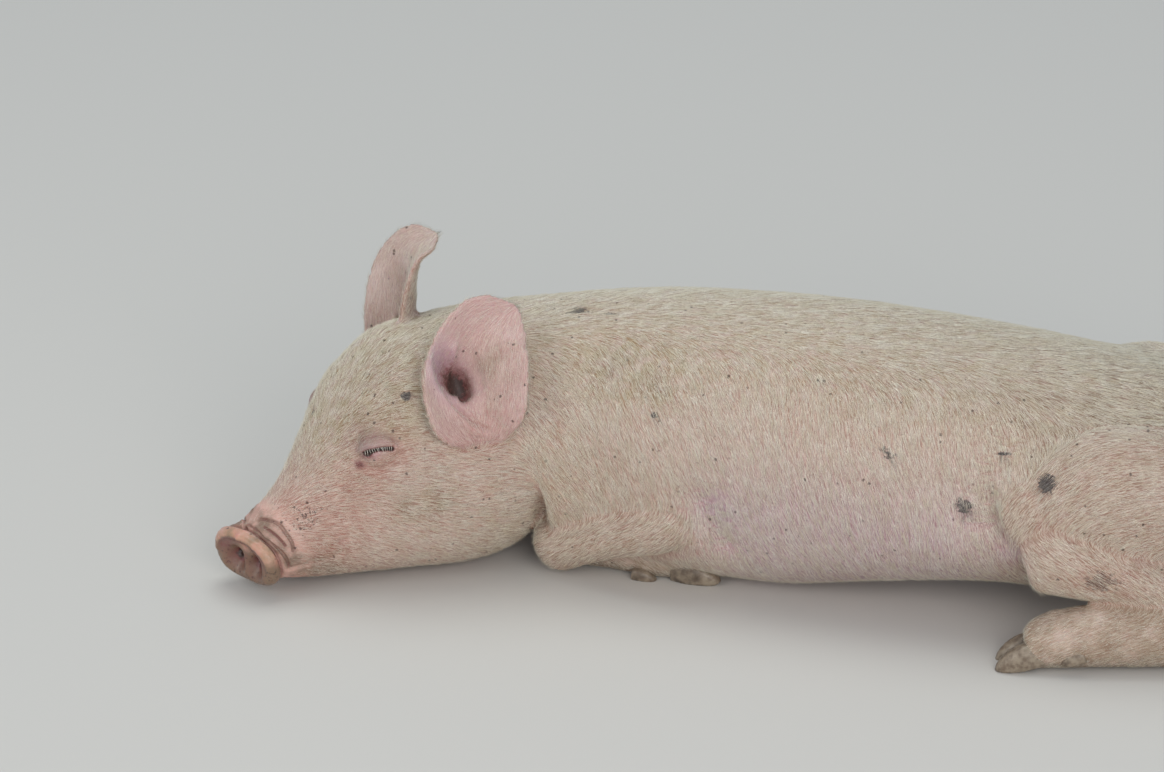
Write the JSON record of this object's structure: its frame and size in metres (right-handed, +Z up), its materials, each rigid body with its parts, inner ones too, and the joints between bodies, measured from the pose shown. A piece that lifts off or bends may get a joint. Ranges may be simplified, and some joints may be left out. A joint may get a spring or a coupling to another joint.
{
  "type": "pig",
  "caption": "Life-size still model of a young pink pig asleep on its chest, legs folded, head turned and resting on its chin, one ear laid back and one upright.",
  "frame": {"origin": "middle of the pig's bounding box on the floor it lies on", "axes": "+X from the snout towards the tail, +Y towards the pig's right side, +Z up from the floor"},
  "size_m": [0.6156, 0.2484, 0.1742],
  "materials": {
    "hairy_skin": "matt pink skin under short white hair",
    "ear_skin": "matt thin-haired pink skin",
    "snout_skin": "satin bare skin",
    "horn": "satin horn",
    "eye": "wet"
  },
  "bodies": {
    "root": {"foreleg_left_claw_outer": "horn", "foreleg_left_claw_inner": "horn", "foreleg_left_claw_outer_dew": "horn", "foreleg_left_claw_inner_dew": "horn", "foreleg_left_foot": "hairy_skin", "foreleg_left_lower": "hairy_skin", "foreleg_left_upper": "hairy_skin", "foreleg_right_claw_outer": "horn", "foreleg_right_claw_inner": "horn", "foreleg_right_claw_outer_dew": "horn", "foreleg_right_claw_inner_dew": "horn", "foreleg_right_foot": "hairy_skin", "foreleg_right_lower": "hairy_skin", "foreleg_right_upper": "hairy_skin", "hindleg_left_claw_outer": "horn", "hindleg_left_claw_inner": "horn", "hindleg_left_claw_outer_dew": "horn", "hindleg_left_claw_inner_dew": "horn", "hindleg_left_foot": "hairy_skin", "hindleg_left_lower": "hairy_skin", "hindleg_left_upper": "hairy_skin", "hindleg_right_claw_outer": "horn", "hindleg_right_claw_inner": "horn", "hindleg_right_claw_outer_dew": "horn", "hindleg_right_claw_inner_dew": "horn", "hindleg_right_foot": "hairy_skin", "hindleg_right_lower": "hairy_skin", "hindleg_right_upper": "hairy_skin", "tail": "hairy_skin", "trunk": "hairy_skin", "neck": "hairy_skin", "ear_left": "ear_skin", "eye_left": "eye", "ear_right": "ear_skin", "eye_right": "eye", "head": "hairy_skin", "snout": "snout_skin"}
  },
  "joints": []
}
